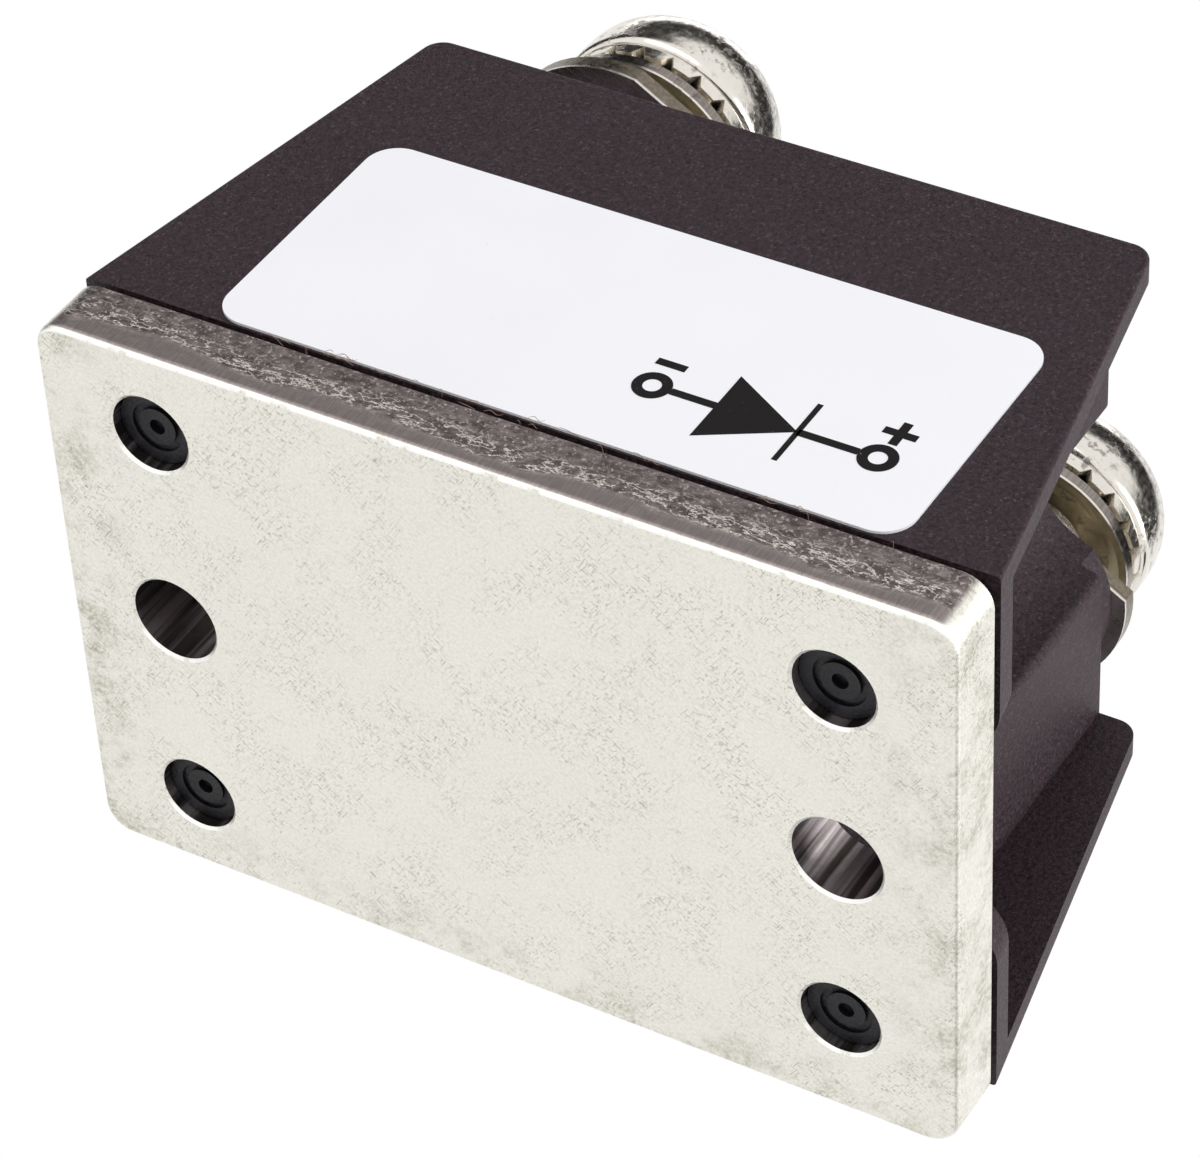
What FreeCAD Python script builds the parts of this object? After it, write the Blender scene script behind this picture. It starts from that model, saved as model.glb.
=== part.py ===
"""Screw-terminal diode module: a nickel-plated base plate, a moulded housing heat-staked to it, two
bent terminal straps over trapped nuts, captive terminal screws, and the isolated chip stack inside.

Frame: millimetres, origin at the centre of the mounting face, +X along the length, +Z from the
mounting face towards the terminals, the rating label on the -Y side. Inside, u runs along the
straps, at strap_angle from +X, and v lies across them.
"""
import FreeCAD, Part
import math
import os
import re
import Sketcher
from FreeCAD import Vector

doc = FreeCAD.newDocument("diode_module")

# Driving dimensions, in millimetres and degrees.
SIZES = {
    # base plate
    "plate_length": 40.1, "plate_width": 26.8, "plate_thickness": 3.0,
    "plate_corner": 1.3, "plate_roll": 0.35,
    "mount_edge": 5.05, "mount_bore": 3.9, "bore_roll": 0.12,
    "peg_margin_left": 3.9, "peg_margin_right": 4.9,
    "peg_counterbore": 3.5, "peg_counterbore_depth": 1.9, "peg_bore": 2.7,
    "peg_clearance": 0.05, "peg_recess": 0.6, "peg_ring": 2.0, "peg_ring_width": 0.3,
    "peg_ring_depth": 0.14, "peg_dimple": 0.7, "peg_dimple_depth": 0.3,
    # housing
    "side_ledge": 0.3, "end_ledge": 0.05, "wall_slope": 3.6,
    "housing_top": 24.0, "groove_height": 0.6, "groove_depth": 0.7,
    "wall": 1.2, "block_inset": 1.8, "foot_height": 1.5, "wing_corner": 1.0,
    "notch_radius": 4.35, "foot_corner": 2.2, "block_corner": 0.5, "wing_edge": 0.2,
    "notch_wall": 1.25, "cavity_wall": 1.8, "cavity_depth": 10.5, "cavity_corner": 1.0,
    # rating label
    "label_left": 2.15, "label_right": 0.55, "label_low": 0.1, "label_height": 12.8,
    "label_thickness": 0.12, "label_corner": 1.4,
    # terminals
    "left_inset": 5.85, "left_margin": 5.75, "right_inset": 5.1, "right_margin": 6.1,
    "strap_angle": 32.0,
    "boss_radius": 5.0, "boss_height": 1.2, "strap_thickness": 0.8, "strap_round": 5.6,
    "strap_outer": 5.25, "strap_inner": 3.4, "strap_reach": 7.0, "strap_bend": 0.6,
    "strap_bore": 5.3, "strap_foot": 3.8, "slot_clearance": 0.2,
    "nut_flats": 8.0, "nut_height": 4.0, "nut_chamfer": 0.4, "nut_clearance": 0.05,
    "well_radius": 2.8, "well_depth": 8.4,
    # terminal screws and their washers
    "screw_diameter": 4.95, "screw_length": 10.0, "thread_clearance": 0.05, "screw_tip": 0.5,
    "head_diameter": 9.8, "head_side": 1.6, "head_height": 4.2, "head_round": 1.2,
    "recess_span": 5.0, "recess_width": 1.1, "recess_depth": 2.2, "recess_taper": 6.0,
    "screw_lift": 1.0, "washer_clearance": 0.075, "stack_gap": 0.02,
    "cup_diameter": 9.6, "cup_rim": 0.6, "cup_rim_wall": 0.35, "cup_crown": 7.4,
    "cup_height": 1.0, "cup_thickness": 0.45,
    "lock_diameter": 9.4, "lock_height": 0.6, "lock_disc": 0.3, "lock_root": 7.6,
    "lock_tooth": 0.7, "lock_teeth": 24,
    # chip stack
    "substrate_end_gap": 0.4, "substrate_side_gap": 0.6, "ceramic_thickness": 0.6,
    "copper_margin": 0.4, "copper_thickness": 0.3, "pad_gap": 0.6, "solder_thickness": 0.1,
    "chip_side": 6.0, "chip_thickness": 0.3, "chip_offset": 6.4,
    "clip_width": 3.6, "clip_thickness": 0.5, "clip_rise": 1.5, "clip_foot": 2.6,
    "gel_depth": 6.0,
}

sheet = doc.addObject("Spreadsheet::Sheet", "Sizes")
for row, (name, value) in enumerate(SIZES.items(), start=1):
    sheet.set(f"A{row}", name)
    sheet.set(f"B{row}", str(value))
    sheet.setAlias(f"B{row}", name)
doc.recompute()


def sized(text):
    """A formula in the sheet's names, as an expression."""
    return re.sub(r"[a-z]\w*", lambda word: "Sizes." + word[0] if word[0] in SIZES else word[0], text)


def number(text):
    """The present value of such a formula."""
    return float(sheet.evalExpression(sized(text)))


# Heights and places that follow from the driving dimensions.
FOOT_Z = "(plate_thickness + groove_height)"
FLANGE_Z = f"({FOOT_Z} + foot_height)"
STRAP_Z = "(housing_top + boss_height)"
STRAP_TOP = f"({STRAP_Z} + strap_thickness)"
CUP_Z = f"({STRAP_TOP} + screw_lift)"
LOCK_Z = f"({CUP_Z} + cup_height)"
HEAD_Z = f"({LOCK_Z} + lock_height + stack_gap)"
COPPER_Z = "(plate_thickness + solder_thickness)"
CERAMIC_Z = f"({COPPER_Z} + copper_thickness)"
PAD_Z = f"({CERAMIC_Z} + ceramic_thickness)"
PAD_TOP = f"({PAD_Z} + copper_thickness)"
JOINT_TOP = f"({PAD_TOP} + solder_thickness)"
CHIP_TOP = f"({JOINT_TOP} + chip_thickness)"
MOUNT_X = "(plate_length/2 - mount_edge)"
HOUSING_WIDTH = "(plate_width - 2*side_ledge)"
FOOT_LENGTH = "(plate_length - 2*end_ledge)"
TOP_LENGTH = f"({FOOT_LENGTH} - 2*wall_slope)"
BLOCK_LENGTH = f"({TOP_LENGTH} - 2*block_inset)"
CAVITY_LENGTH = f"(2*({MOUNT_X} - notch_radius - notch_wall))"
CAVITY_WIDTH = f"({HOUSING_WIDTH} - 2*cavity_wall)"
TERMINALS = {
    "left": (f"(left_inset - {BLOCK_LENGTH}/2)", f"(left_margin - {HOUSING_WIDTH}/2)", "strap_angle"),
    "right": (f"({BLOCK_LENGTH}/2 - right_inset)", f"({HOUSING_WIDTH}/2 - right_margin)", "(strap_angle + 180)"),
}


def bind(item, **formulas):
    """Ties properties to the sheet; a double underscore in a name stands for a dot."""
    for name, text in formulas.items():
        item.setExpression(name.replace("__", "."), sized(text))
    return item


def new_body(label):
    """A body whose label is the sub-part's name."""
    body = doc.addObject("PartDesign::Body", label)
    body.Label = label
    return body


def new_sketch(body, role="XY_Plane", **offset):
    """A sketch on one of the body's own origin planes, moved by formulas."""
    sketch = body.newObject("Sketcher::SketchObject", "Sketch")
    plane = next(item for item in body.Origin.OriginFeatures if item.Role == role)
    sketch.AttachmentSupport = [(plane, "")]
    sketch.MapMode = "FlatFace"
    for name, text in offset.items():
        sketch.setExpression("AttachmentOffset." + name.replace("__", "."), sized(text))
    return sketch


def hold(sketch, kind, geometry, point, text):
    """Sets one point's signed distance from the sketch's origin."""
    index = sketch.addConstraint(Sketcher.Constraint(kind, -1, 1, geometry, point, number(text)))
    sketch.setExpression(f"Constraints[{index}]", sized(text))


def polygon(sketch, *points):
    """A closed outline of straight sides through points given as pairs of formulas."""
    first = sketch.GeometryCount
    count = len(points)
    places = [Vector(number(x), number(y), 0) for x, y in points]
    for index in range(count):
        sketch.addGeometry(Part.LineSegment(places[index], places[(index + 1) % count]))
    for index in range(count):
        following = first + (index + 1) % count
        sketch.addConstraint(Sketcher.Constraint("Coincident", first + index, 2, following, 1))
    for index, (x, y) in enumerate(points):
        hold(sketch, "DistanceX", first + index, 1, x)
        hold(sketch, "DistanceY", first + index, 1, y)
    return sketch


def rectangle(sketch, x0, x1, y0, y1):
    return polygon(sketch, (x0, y0), (x1, y0), (x1, y1), (x0, y1))


def centred(sketch, length, width):
    return rectangle(sketch, f"-{length}/2", f"{length}/2", f"-{width}/2", f"{width}/2")


def circle(sketch, x, y, radius):
    geometry = sketch.addGeometry(Part.Circle(Vector(number(x), number(y), 0), Vector(0, 0, 1), number(radius)))
    hold(sketch, "DistanceX", geometry, 3, x)
    hold(sketch, "DistanceY", geometry, 3, y)
    index = sketch.addConstraint(Sketcher.Constraint("Radius", geometry, number(radius)))
    sketch.setExpression(f"Constraints[{index}]", sized(radius))
    return sketch


def hexagon(sketch, x, y, flats):
    """Six corners about a centre, with two flats along the straps."""
    reach = f"{flats}/2/cos(30)"
    corners = [(f"{x} + {reach}*cos({60 * index} + strap_angle)", f"{y} + {reach}*sin({60 * index} + strap_angle)")
               for index in range(6)]
    return polygon(sketch, *corners)


def pad(body, sketch, length, symmetric=False, reverse=False):
    feature = body.newObject("PartDesign::Pad", "Pad")
    feature.Profile = sketch
    feature.Midplane = symmetric
    feature.Reversed = reverse
    return bind(feature, Length=length)


def pocket(body, sketch, length, symmetric=False, reverse=False):
    """A cut below the sketch, or above it where reverse is set; it has to remove something."""
    doc.recompute()
    before = body.Tip.Shape.Volume
    feature = body.newObject("PartDesign::Pocket", "Pocket")
    feature.Profile = sketch
    feature.Midplane = symmetric
    feature.Reversed = reverse
    bind(feature, Length=length)
    doc.recompute()
    if feature.Shape.isNull() or feature.Shape.Volume > before - 1e-6:
        raise RuntimeError(f"{body.Label}: {feature.Name} removes nothing")
    return feature


def revolve(body, sketch, kind="PartDesign::Revolution"):
    """A full turn about the sketch's vertical axis."""
    feature = body.newObject(kind, "Turned")
    feature.Profile = sketch
    feature.ReferenceAxis = (sketch, ["V_Axis"])
    feature.Angle = 360.0
    return feature


def soften(body, radius, test, kind="PartDesign::Fillet"):
    """A fillet or chamfer on each edge that the test picks."""
    doc.recompute()
    solid = body.Tip
    names = [f"Edge{index}" for index, edge in enumerate(solid.Shape.Edges, start=1) if test(edge)]
    feature = body.newObject(kind, "Edge")
    feature.Base = (solid, names)
    if kind == "PartDesign::Fillet":
        return bind(feature, Radius=radius)
    return bind(feature, Size=radius)


def near(value, formula):
    return abs(value - number(formula)) < 1e-4


def upright(edge):
    """A straight edge along Z."""
    box = edge.BoundBox
    return box.XLength < 1e-6 and box.YLength < 1e-6


def level(edge, formula):
    """An edge that lies at one height."""
    return edge.BoundBox.ZLength < 1e-6 and near(edge.BoundBox.ZMin, formula)


def place(body, x, y, turn="0", z="0"):
    """Moves a body bodily, about its own origin."""
    bind(body, Placement__Base__x=x, Placement__Base__y=y, Placement__Base__z=z,
         Placement__Rotation__Angle=turn)
    return body


def pegs():
    """The centres of the four heat-staked pegs, as formulas."""
    for x, margin in ((f"-{MOUNT_X}", "peg_margin_left"), (MOUNT_X, "peg_margin_right")):
        for side in "+-":
            yield x, f"{side}(plate_width/2 - {margin})"


def circles(sketch, centres, radius):
    for x, y in centres:
        circle(sketch, x, y, radius)
    return sketch


def base_plate():
    """The stamped plate: mounting bores, counterbored peg holes and a rolled rim below."""
    body = new_body("base_plate")
    pad(body, centred(new_sketch(body), "plate_length", "plate_width"), "plate_thickness")
    soften(body, "plate_corner", upright)
    soften(body, "plate_roll", lambda edge: level(edge, "0"))
    bores = circles(new_sketch(body), [(f"-{MOUNT_X}", "0"), (MOUNT_X, "0")], "mount_bore/2")
    pocket(body, bores, "plate_thickness", reverse=True)
    pocket(body, circles(new_sketch(body), pegs(), "peg_bore/2"), "plate_thickness", reverse=True)
    pocket(body, circles(new_sketch(body), pegs(), "peg_counterbore/2"), "peg_counterbore_depth", reverse=True)
    round_rims = ("mount_bore/2", "peg_counterbore/2")
    soften(body, "bore_roll", lambda edge: level(edge, "0") and hasattr(edge.Curve, "Radius")
           and any(near(edge.Curve.Radius, radius) for radius in round_rims), "PartDesign::Chamfer")
    return body


def housing():
    """The moulding: trapezium side walls, a block between them, notches, feet, bosses and pegs."""
    body = new_body("housing")
    walls = new_sketch(body, "XZ_Plane")
    polygon(walls, (f"-{FOOT_LENGTH}/2", FOOT_Z), (f"{FOOT_LENGTH}/2", FOOT_Z),
            (f"{TOP_LENGTH}/2", "housing_top"), (f"-{TOP_LENGTH}/2", "housing_top"))
    pad(body, walls, HOUSING_WIDTH, symmetric=True)
    ends = new_sketch(body, "XZ_Plane")
    for side in "+-":
        rectangle(ends, f"{side}{BLOCK_LENGTH}/2", f"{side}{FOOT_LENGTH}", FLANGE_Z, "housing_top + wall")
    pocket(body, ends, f"{HOUSING_WIDTH} - 2*wall", symmetric=True)
    soften(body, "wing_corner", lambda edge: near(edge.BoundBox.ZMin, "housing_top")
           and near(edge.BoundBox.YLength, "wall")
           and near(abs(edge.CenterOfMass.x), f"{TOP_LENGTH}/2"))
    soften(body, "wing_edge", lambda edge: near(abs(edge.CenterOfMass.y), f"{HOUSING_WIDTH}/2")
           and edge.BoundBox.YLength < 1e-6 and edge.BoundBox.ZLength > number("housing_top/2"))

    plinth = new_sketch(body, Base__z="plate_thickness")
    centred(plinth, f"({FOOT_LENGTH} - 2*groove_depth)", f"({HOUSING_WIDTH} - 2*groove_depth)")
    pad(body, plinth, "groove_height")
    centres = [(x, y) for x, y, turn in TERMINALS.values()]
    pad(body, circles(new_sketch(body, Base__z="housing_top"), centres, "boss_radius"), "boss_height")
    notches = new_sketch(body, Base__z="plate_thickness")
    circles(notches, [(f"-{MOUNT_X}", "0"), (MOUNT_X, "0")], "notch_radius")
    pocket(body, notches, "housing_top", reverse=True)
    mouths = new_sketch(body, Base__z="plate_thickness")
    for side in "+-":
        rectangle(mouths, f"{side}{MOUNT_X}", f"{side}{FOOT_LENGTH}", "-notch_radius", "notch_radius")
    pocket(body, mouths, "housing_top", reverse=True)
    soften(body, "foot_corner", lambda edge: near(abs(edge.CenterOfMass.y), "notch_radius")
           and abs(edge.CenterOfMass.x) > number(f"{FOOT_LENGTH}/2 - groove_depth")
           and edge.BoundBox.ZLength > number("foot_height*0.9") and edge.BoundBox.YLength < 1e-6)
    soften(body, "block_corner", lambda edge: upright(edge)
           and near(abs(edge.CenterOfMass.x), f"{BLOCK_LENGTH}/2")
           and abs(edge.CenterOfMass.y) < number("notch_radius"))

    hexes = new_sketch(body, Base__z=STRAP_Z)
    for x, y in centres:
        hexagon(hexes, x, y, "(nut_flats + 2*nut_clearance)")
    pocket(body, hexes, "nut_height")
    pocket(body, circles(new_sketch(body, Base__z=STRAP_Z), centres, "well_radius"), "well_depth")

    cavity = new_sketch(body, Base__z="plate_thickness")
    pocket(body, centred(cavity, CAVITY_LENGTH, CAVITY_WIDTH), "cavity_depth", reverse=True)
    soften(body, "cavity_corner", lambda edge: upright(edge)
           and near(abs(edge.CenterOfMass.x), f"{CAVITY_LENGTH}/2")
           and near(abs(edge.CenterOfMass.y), f"{CAVITY_WIDTH}/2"))
    slots = new_sketch(body, Base__z=STRAP_Z, Rotation__Angle="strap_angle")
    for x, y, turn in TERMINALS.values():
        along = f"{x}*cos(strap_angle) + {y}*sin(strap_angle)"
        across = f"{y}*cos(strap_angle) - {x}*sin(strap_angle)"
        ahead = f"cos({turn} - strap_angle)"
        rectangle(slots, f"{along} + {ahead}*(strap_reach - strap_thickness - slot_clearance)",
                  f"{along} + {ahead}*(strap_reach + slot_clearance)",
                  f"{across} - {ahead}*(strap_outer + slot_clearance)",
                  f"{across} + {ahead}*(strap_inner + slot_clearance)")
    pocket(body, slots, f"{STRAP_Z} - plate_thickness - cavity_depth/2")

    pad(body, circles(new_sketch(body, Base__z="plate_thickness"), pegs(), "peg_bore/2 - peg_clearance"),
        "plate_thickness - peg_counterbore_depth", reverse=True)
    heads = new_sketch(body, Base__z="peg_counterbore_depth")
    circles(heads, pegs(), "peg_counterbore/2 - peg_clearance")
    pad(body, heads, "peg_counterbore_depth - peg_recess", reverse=True)
    doc.recompute()
    rings = new_sketch(body, Base__z="peg_recess")
    circles(rings, pegs(), "peg_ring/2 + peg_ring_width/2")
    circles(rings, pegs(), "peg_ring/2 - peg_ring_width/2")
    pocket(body, rings, "peg_ring_depth", reverse=True)
    pocket(body, circles(new_sketch(body, Base__z="peg_recess"), pegs(), "peg_dimple/2"),
           "peg_dimple_depth", reverse=True)
    return body


def rating_label():
    """The printed label on the -Y wall."""
    body = new_body("rating_label")
    outline = new_sketch(body, "XZ_Plane", Base__z=f"{HOUSING_WIDTH}/2")
    rectangle(outline, f"label_left - {TOP_LENGTH}/2", f"{TOP_LENGTH}/2 - label_right",
              f"{FOOT_Z} + label_low", f"{FOOT_Z} + label_low + label_height")
    pad(body, outline, "label_thickness")
    soften(body, "label_corner", lambda edge: edge.BoundBox.XLength < 1e-6 and edge.BoundBox.ZLength < 1e-6)
    return body


def terminal_strap(side):
    """The bent strap: a trimmed round pad under the screw, an arm, a leg and a soldered foot."""
    x, y, turn = TERMINALS[side]
    body = new_body(f"terminal_strap_{side}")
    leg = "(strap_reach - strap_thickness)"
    toe = "(strap_reach - strap_foot)"
    bent = new_sketch(body, "XZ_Plane", Base__z="strap_outer")
    polygon(bent, ("0", STRAP_Z), (leg, STRAP_Z), (leg, f"{JOINT_TOP} + strap_thickness"),
            (toe, f"{JOINT_TOP} + strap_thickness"), (toe, JOINT_TOP), ("strap_reach", JOINT_TOP),
            ("strap_reach", STRAP_TOP), ("0", STRAP_TOP))
    pad(body, bent, "strap_outer + strap_inner", reverse=True)
    inner = [("strap_reach - strap_thickness", STRAP_Z),
             ("strap_reach - strap_thickness", f"{JOINT_TOP} + strap_thickness")]
    outer = [("strap_reach", STRAP_TOP), ("strap_reach", JOINT_TOP)]
    for corners, radius in ((inner, "strap_bend"), (outer, "strap_bend + strap_thickness")):
        soften(body, radius, lambda edge: any(near(edge.CenterOfMass.x, at) and near(edge.CenterOfMass.z, height)
                                              for at, height in corners) and edge.BoundBox.YLength > 1)
    pad(body, circle(new_sketch(body, Base__z=STRAP_Z), "0", "0", "strap_round"), "strap_thickness")
    trims = new_sketch(body, Base__z=STRAP_TOP)
    rectangle(trims, "-strap_round*1.5", "strap_round*1.5", "strap_inner", "strap_round*1.5")
    rectangle(trims, "-strap_round*1.5", "strap_round*1.5", "-strap_round*1.5", "-strap_outer")
    pocket(body, trims, "strap_thickness")
    pocket(body, circle(new_sketch(body, Base__z=STRAP_TOP), "0", "0", "strap_bore/2"), "strap_thickness")
    return place(body, x, y, turn)


def terminal_nut(side):
    """The trapped nut, flush with the top of its boss."""
    x, y, turn = TERMINALS[side]
    body = new_body(f"terminal_nut_{side}")
    pad(body, hexagon(new_sketch(body, Base__z=f"{STRAP_Z} - nut_height"), "0", "0", "nut_flats"), "nut_height")
    cone = new_sketch(body, "XZ_Plane")
    corner = "nut_flats/2/cos(30)"
    for height, sign in ((STRAP_Z, "-"), (f"{STRAP_Z} - nut_height", "+")):
        polygon(cone, (f"{corner} - nut_chamfer", height), (f"{corner} + nut_chamfer", height),
                (f"{corner} + nut_chamfer", f"{height} {sign} nut_chamfer"))
    revolve(body, cone, "PartDesign::Groove")
    doc.recompute()
    bore = circle(new_sketch(body, Base__z=STRAP_Z), "0", "0", "screw_diameter/2 + thread_clearance")
    pocket(body, bore, "nut_height")
    return place(body, x, y)


def cup_washer(side):
    """The dished washer, hollow side down."""
    x, y, turn = TERMINALS[side]
    body = new_body(f"cup_washer_{side}")
    rim = "cup_diameter/2"
    bore = "screw_diameter/2 + washer_clearance"
    dish = polygon(new_sketch(body, "XZ_Plane"), (rim, CUP_Z), (rim, f"{CUP_Z} + cup_rim"),
                   ("cup_crown/2", f"{CUP_Z} + cup_height"), (bore, f"{CUP_Z} + cup_height"),
                   (bore, f"{CUP_Z} + cup_height - cup_thickness"),
                   ("cup_crown/2", f"{CUP_Z} + cup_height - cup_thickness"),
                   (f"{rim} - cup_rim_wall", f"{CUP_Z} + cup_rim - cup_thickness"),
                   (f"{rim} - cup_rim_wall", CUP_Z))
    revolve(body, dish)
    return place(body, x, y)


def lock_washer(side):
    """The external-tooth lock washer; each tooth is twisted out of the disc."""
    x, y, turn = TERMINALS[side]
    body = new_body(f"lock_washer_{side}")
    low = f"{LOCK_Z} + lock_height/2 - lock_disc/2"
    high = f"{LOCK_Z} + lock_height/2 + lock_disc/2"
    bore = "screw_diameter/2 + washer_clearance"
    ring = circle(circle(new_sketch(body, Base__z=low), "0", "0", "lock_root/2"), "0", "0", bore)
    pad(body, ring, "lock_disc")
    section = new_sketch(body, "YZ_Plane", Base__z="lock_root/2 - lock_disc")
    polygon(section, ("-lock_tooth/2", f"{LOCK_Z}"), ("-lock_tooth/2", f"{LOCK_Z} + lock_disc"),
            ("lock_tooth/2", f"{LOCK_Z} + lock_height"), ("lock_tooth/2", high + " - lock_disc/2"))
    tooth = pad(body, section, "lock_diameter/2 - lock_root/2 + lock_disc")
    doc.recompute()
    teeth = body.newObject("PartDesign::PolarPattern", "Teeth")
    teeth.Originals = [tooth]
    teeth.Axis = (ring, ["N_Axis"])
    teeth.Angle = 360.0
    bind(teeth, Occurrences="lock_teeth")
    body.Tip = teeth
    return place(body, x, y)


def terminal_screw(side):
    """The pan-head screw with a cross recess; its thread is left plain."""
    x, y, turn = TERMINALS[side]
    body = new_body(f"terminal_screw_{side}")
    tip = f"{HEAD_Z} - screw_length"
    shank = polygon(new_sketch(body, "XZ_Plane"), ("0", tip), ("screw_diameter/2 - screw_tip", tip),
                    ("screw_diameter/2", f"{tip} + screw_tip"), ("screw_diameter/2", f"{HEAD_Z} + head_side/2"),
                    ("0", f"{HEAD_Z} + head_side/2"))
    revolve(body, shank)
    head = new_sketch(body, "XZ_Plane")
    top = Vector(0, number(f"{HEAD_Z} + head_height"), 0)
    edge = Vector(number("head_diameter/2"), number(f"{HEAD_Z} + head_side"), 0)
    cap = (edge.x ** 2 + (top.y - edge.y) ** 2) / 2 / (top.y - edge.y)
    middle = Vector(cap * math.sin(math.asin(edge.x / cap) / 2),
                    top.y - cap + cap * math.cos(math.asin(edge.x / cap) / 2), 0)
    crown = head.addGeometry(Part.Arc(edge, middle, top))
    lines = [head.addGeometry(Part.LineSegment(start, end)) for start, end in
             ((top, Vector(0, number(HEAD_Z), 0)), (Vector(0, number(HEAD_Z), 0), Vector(edge.x, number(HEAD_Z), 0)),
              (Vector(edge.x, number(HEAD_Z), 0), edge))]
    for first, end, second, start in ((crown, 2, lines[0], 1), (lines[0], 2, lines[1], 1),
                                      (lines[1], 2, lines[2], 1), (lines[2], 2, crown, 1)):
        head.addConstraint(Sketcher.Constraint("Coincident", first, end, second, start))
    head.addConstraint(Sketcher.Constraint("PointOnObject", crown, 3, -2))
    hold(head, "DistanceX", lines[0], 1, "0")
    hold(head, "DistanceY", lines[0], 1, f"{HEAD_Z} + head_height")
    hold(head, "DistanceX", lines[1], 1, "0")
    hold(head, "DistanceY", lines[1], 1, HEAD_Z)
    hold(head, "DistanceX", lines[2], 1, "head_diameter/2")
    hold(head, "DistanceY", lines[2], 1, HEAD_Z)
    hold(head, "DistanceX", crown, 1, "head_diameter/2")
    hold(head, "DistanceY", crown, 1, f"{HEAD_Z} + head_side")
    revolve(body, head)
    soften(body, "head_round", lambda edge: level(edge, f"{HEAD_Z} + head_side") and hasattr(edge.Curve, "Radius")
           and near(edge.Curve.Radius, "head_diameter/2"))
    doc.recompute()
    cross = new_sketch(body, Base__z=f"{HEAD_Z} + head_height")
    arm, half = "recess_span/2", "recess_width/2"
    polygon(cross, (arm, f"-{half}"), (arm, half), (half, half), (half, arm), (f"-{half}", arm),
            (f"-{half}", half), (f"-{arm}", half), (f"-{arm}", f"-{half}"), (f"-{half}", f"-{half}"),
            (f"-{half}", f"-{arm}"), (half, f"-{arm}"), (half, f"-{half}"))
    recess = pocket(body, cross, "recess_depth")
    bind(recess, TaperAngle="-recess_taper")
    return place(body, x, y, turn)


def slab(label, x0, x1, y0, y1, z, thickness, turn="0"):
    """A flat layer of the chip stack; its outline turns with the straps where it lies along u."""
    body = new_body(label)
    pad(body, rectangle(new_sketch(body, Base__z=z), x0, x1, y0, y1), thickness)
    return place(body, "0", "0", turn)


def chip_stack():
    """The layers between the base plate and the straps' feet."""
    far_x = f"({CAVITY_LENGTH}/2 - substrate_end_gap)"
    far_y = f"({CAVITY_WIDTH}/2 - substrate_side_gap)"
    edge_x, edge_y = f"({far_x} - copper_margin)", f"({far_y} - copper_margin)"
    spread = (f"-{edge_x}", edge_x, f"-{edge_y}", edge_y)
    half_chip, half_clip = "chip_side/2", "clip_width/2"
    landing = ("chip_offset - clip_foot/2", "chip_offset + clip_foot/2")
    layers = [
        slab("base_solder", *spread, "plate_thickness", "solder_thickness"),
        slab("substrate_copper", *spread, COPPER_Z, "copper_thickness"),
        slab("substrate_ceramic", f"-{far_x}", far_x, f"-{far_y}", far_y, CERAMIC_Z, "ceramic_thickness"),
        slab("anode_pad", f"-{edge_x}", edge_x, f"-{edge_y}", "-pad_gap/2", PAD_Z, "copper_thickness"),
        slab("cathode_pad", f"-{edge_x}", edge_x, "pad_gap/2", edge_y, PAD_Z, "copper_thickness"),
        slab("chip_solder", f"-{half_chip}", half_chip, "chip_offset - chip_side/2", "chip_offset + chip_side/2",
             PAD_TOP, "solder_thickness", "strap_angle"),
        slab("diode_chip", f"-{half_chip}", half_chip, "chip_offset - chip_side/2", "chip_offset + chip_side/2",
             JOINT_TOP, "chip_thickness", "strap_angle"),
        slab("clip_top_solder", f"-{half_clip}", half_clip, *landing, CHIP_TOP, "solder_thickness", "strap_angle"),
        slab("clip_foot_solder", f"-{half_clip}", half_clip, "-chip_offset - clip_foot/2",
             "-chip_offset + clip_foot/2", PAD_TOP, "solder_thickness", "strap_angle"),
    ]
    for side, (x, y, turn) in TERMINALS.items():
        body = new_body(f"strap_solder_{side}")
        sketch = new_sketch(body, Base__z=PAD_TOP)
        rectangle(sketch, "strap_reach - strap_foot", "strap_reach - strap_bend - strap_thickness",
                  "-strap_outer", "strap_inner")
        pad(body, sketch, "solder_thickness")
        layers.append(place(body, x, y, turn))
    return layers


def anode_clip():
    """The bridge from the top of the chip to the anode pad."""
    body = new_body("anode_clip")
    high = f"({CHIP_TOP} + solder_thickness)"
    crest = f"({high} + clip_rise)"
    tall = "clip_thickness"
    near_edge, far_edge = "(chip_offset - clip_foot/2)", "(chip_offset + clip_foot/2)"
    profile = new_sketch(body, "YZ_Plane")
    polygon(profile, (f"-{far_edge}", JOINT_TOP), (f"-{near_edge}", JOINT_TOP), (f"-{near_edge}", crest),
            (near_edge, crest), (near_edge, high), (far_edge, high), (far_edge, f"{high} + {tall}"),
            (f"{near_edge} + {tall}", f"{high} + {tall}"), (f"{near_edge} + {tall}", f"{crest} + {tall}"),
            (f"-{near_edge} - {tall}", f"{crest} + {tall}"), (f"-{near_edge} - {tall}", f"{JOINT_TOP} + {tall}"),
            (f"-{far_edge}", f"{JOINT_TOP} + {tall}"))
    pad(body, profile, "clip_width", symmetric=True)
    return place(body, "0", "0", "strap_angle")


def silicone_gel(inner):
    """The gel poured over the stack, which it wets all round."""
    block = new_body("gel_block")
    pour = new_sketch(block, Base__z="plate_thickness")
    pad(block, centred(pour, CAVITY_LENGTH, CAVITY_WIDTH), "gel_depth")
    soften(block, "cavity_corner", upright)
    stack = doc.addObject("Part::Compound", "gel_displaced")
    stack.Links = inner
    gel = doc.addObject("Part::Cut", "silicone_gel")
    gel.Label = "silicone_gel"
    gel.Base = block
    gel.Tool = stack
    return gel


pieces = [base_plate(), housing(), rating_label()]
for side in TERMINALS:
    pieces += [terminal_nut(side), cup_washer(side), lock_washer(side), terminal_screw(side)]
inside = [*chip_stack(), anode_clip(), *(terminal_strap(side) for side in TERMINALS)]
pieces += [*inside, silicone_gel(inside)]
doc.recompute()

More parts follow.
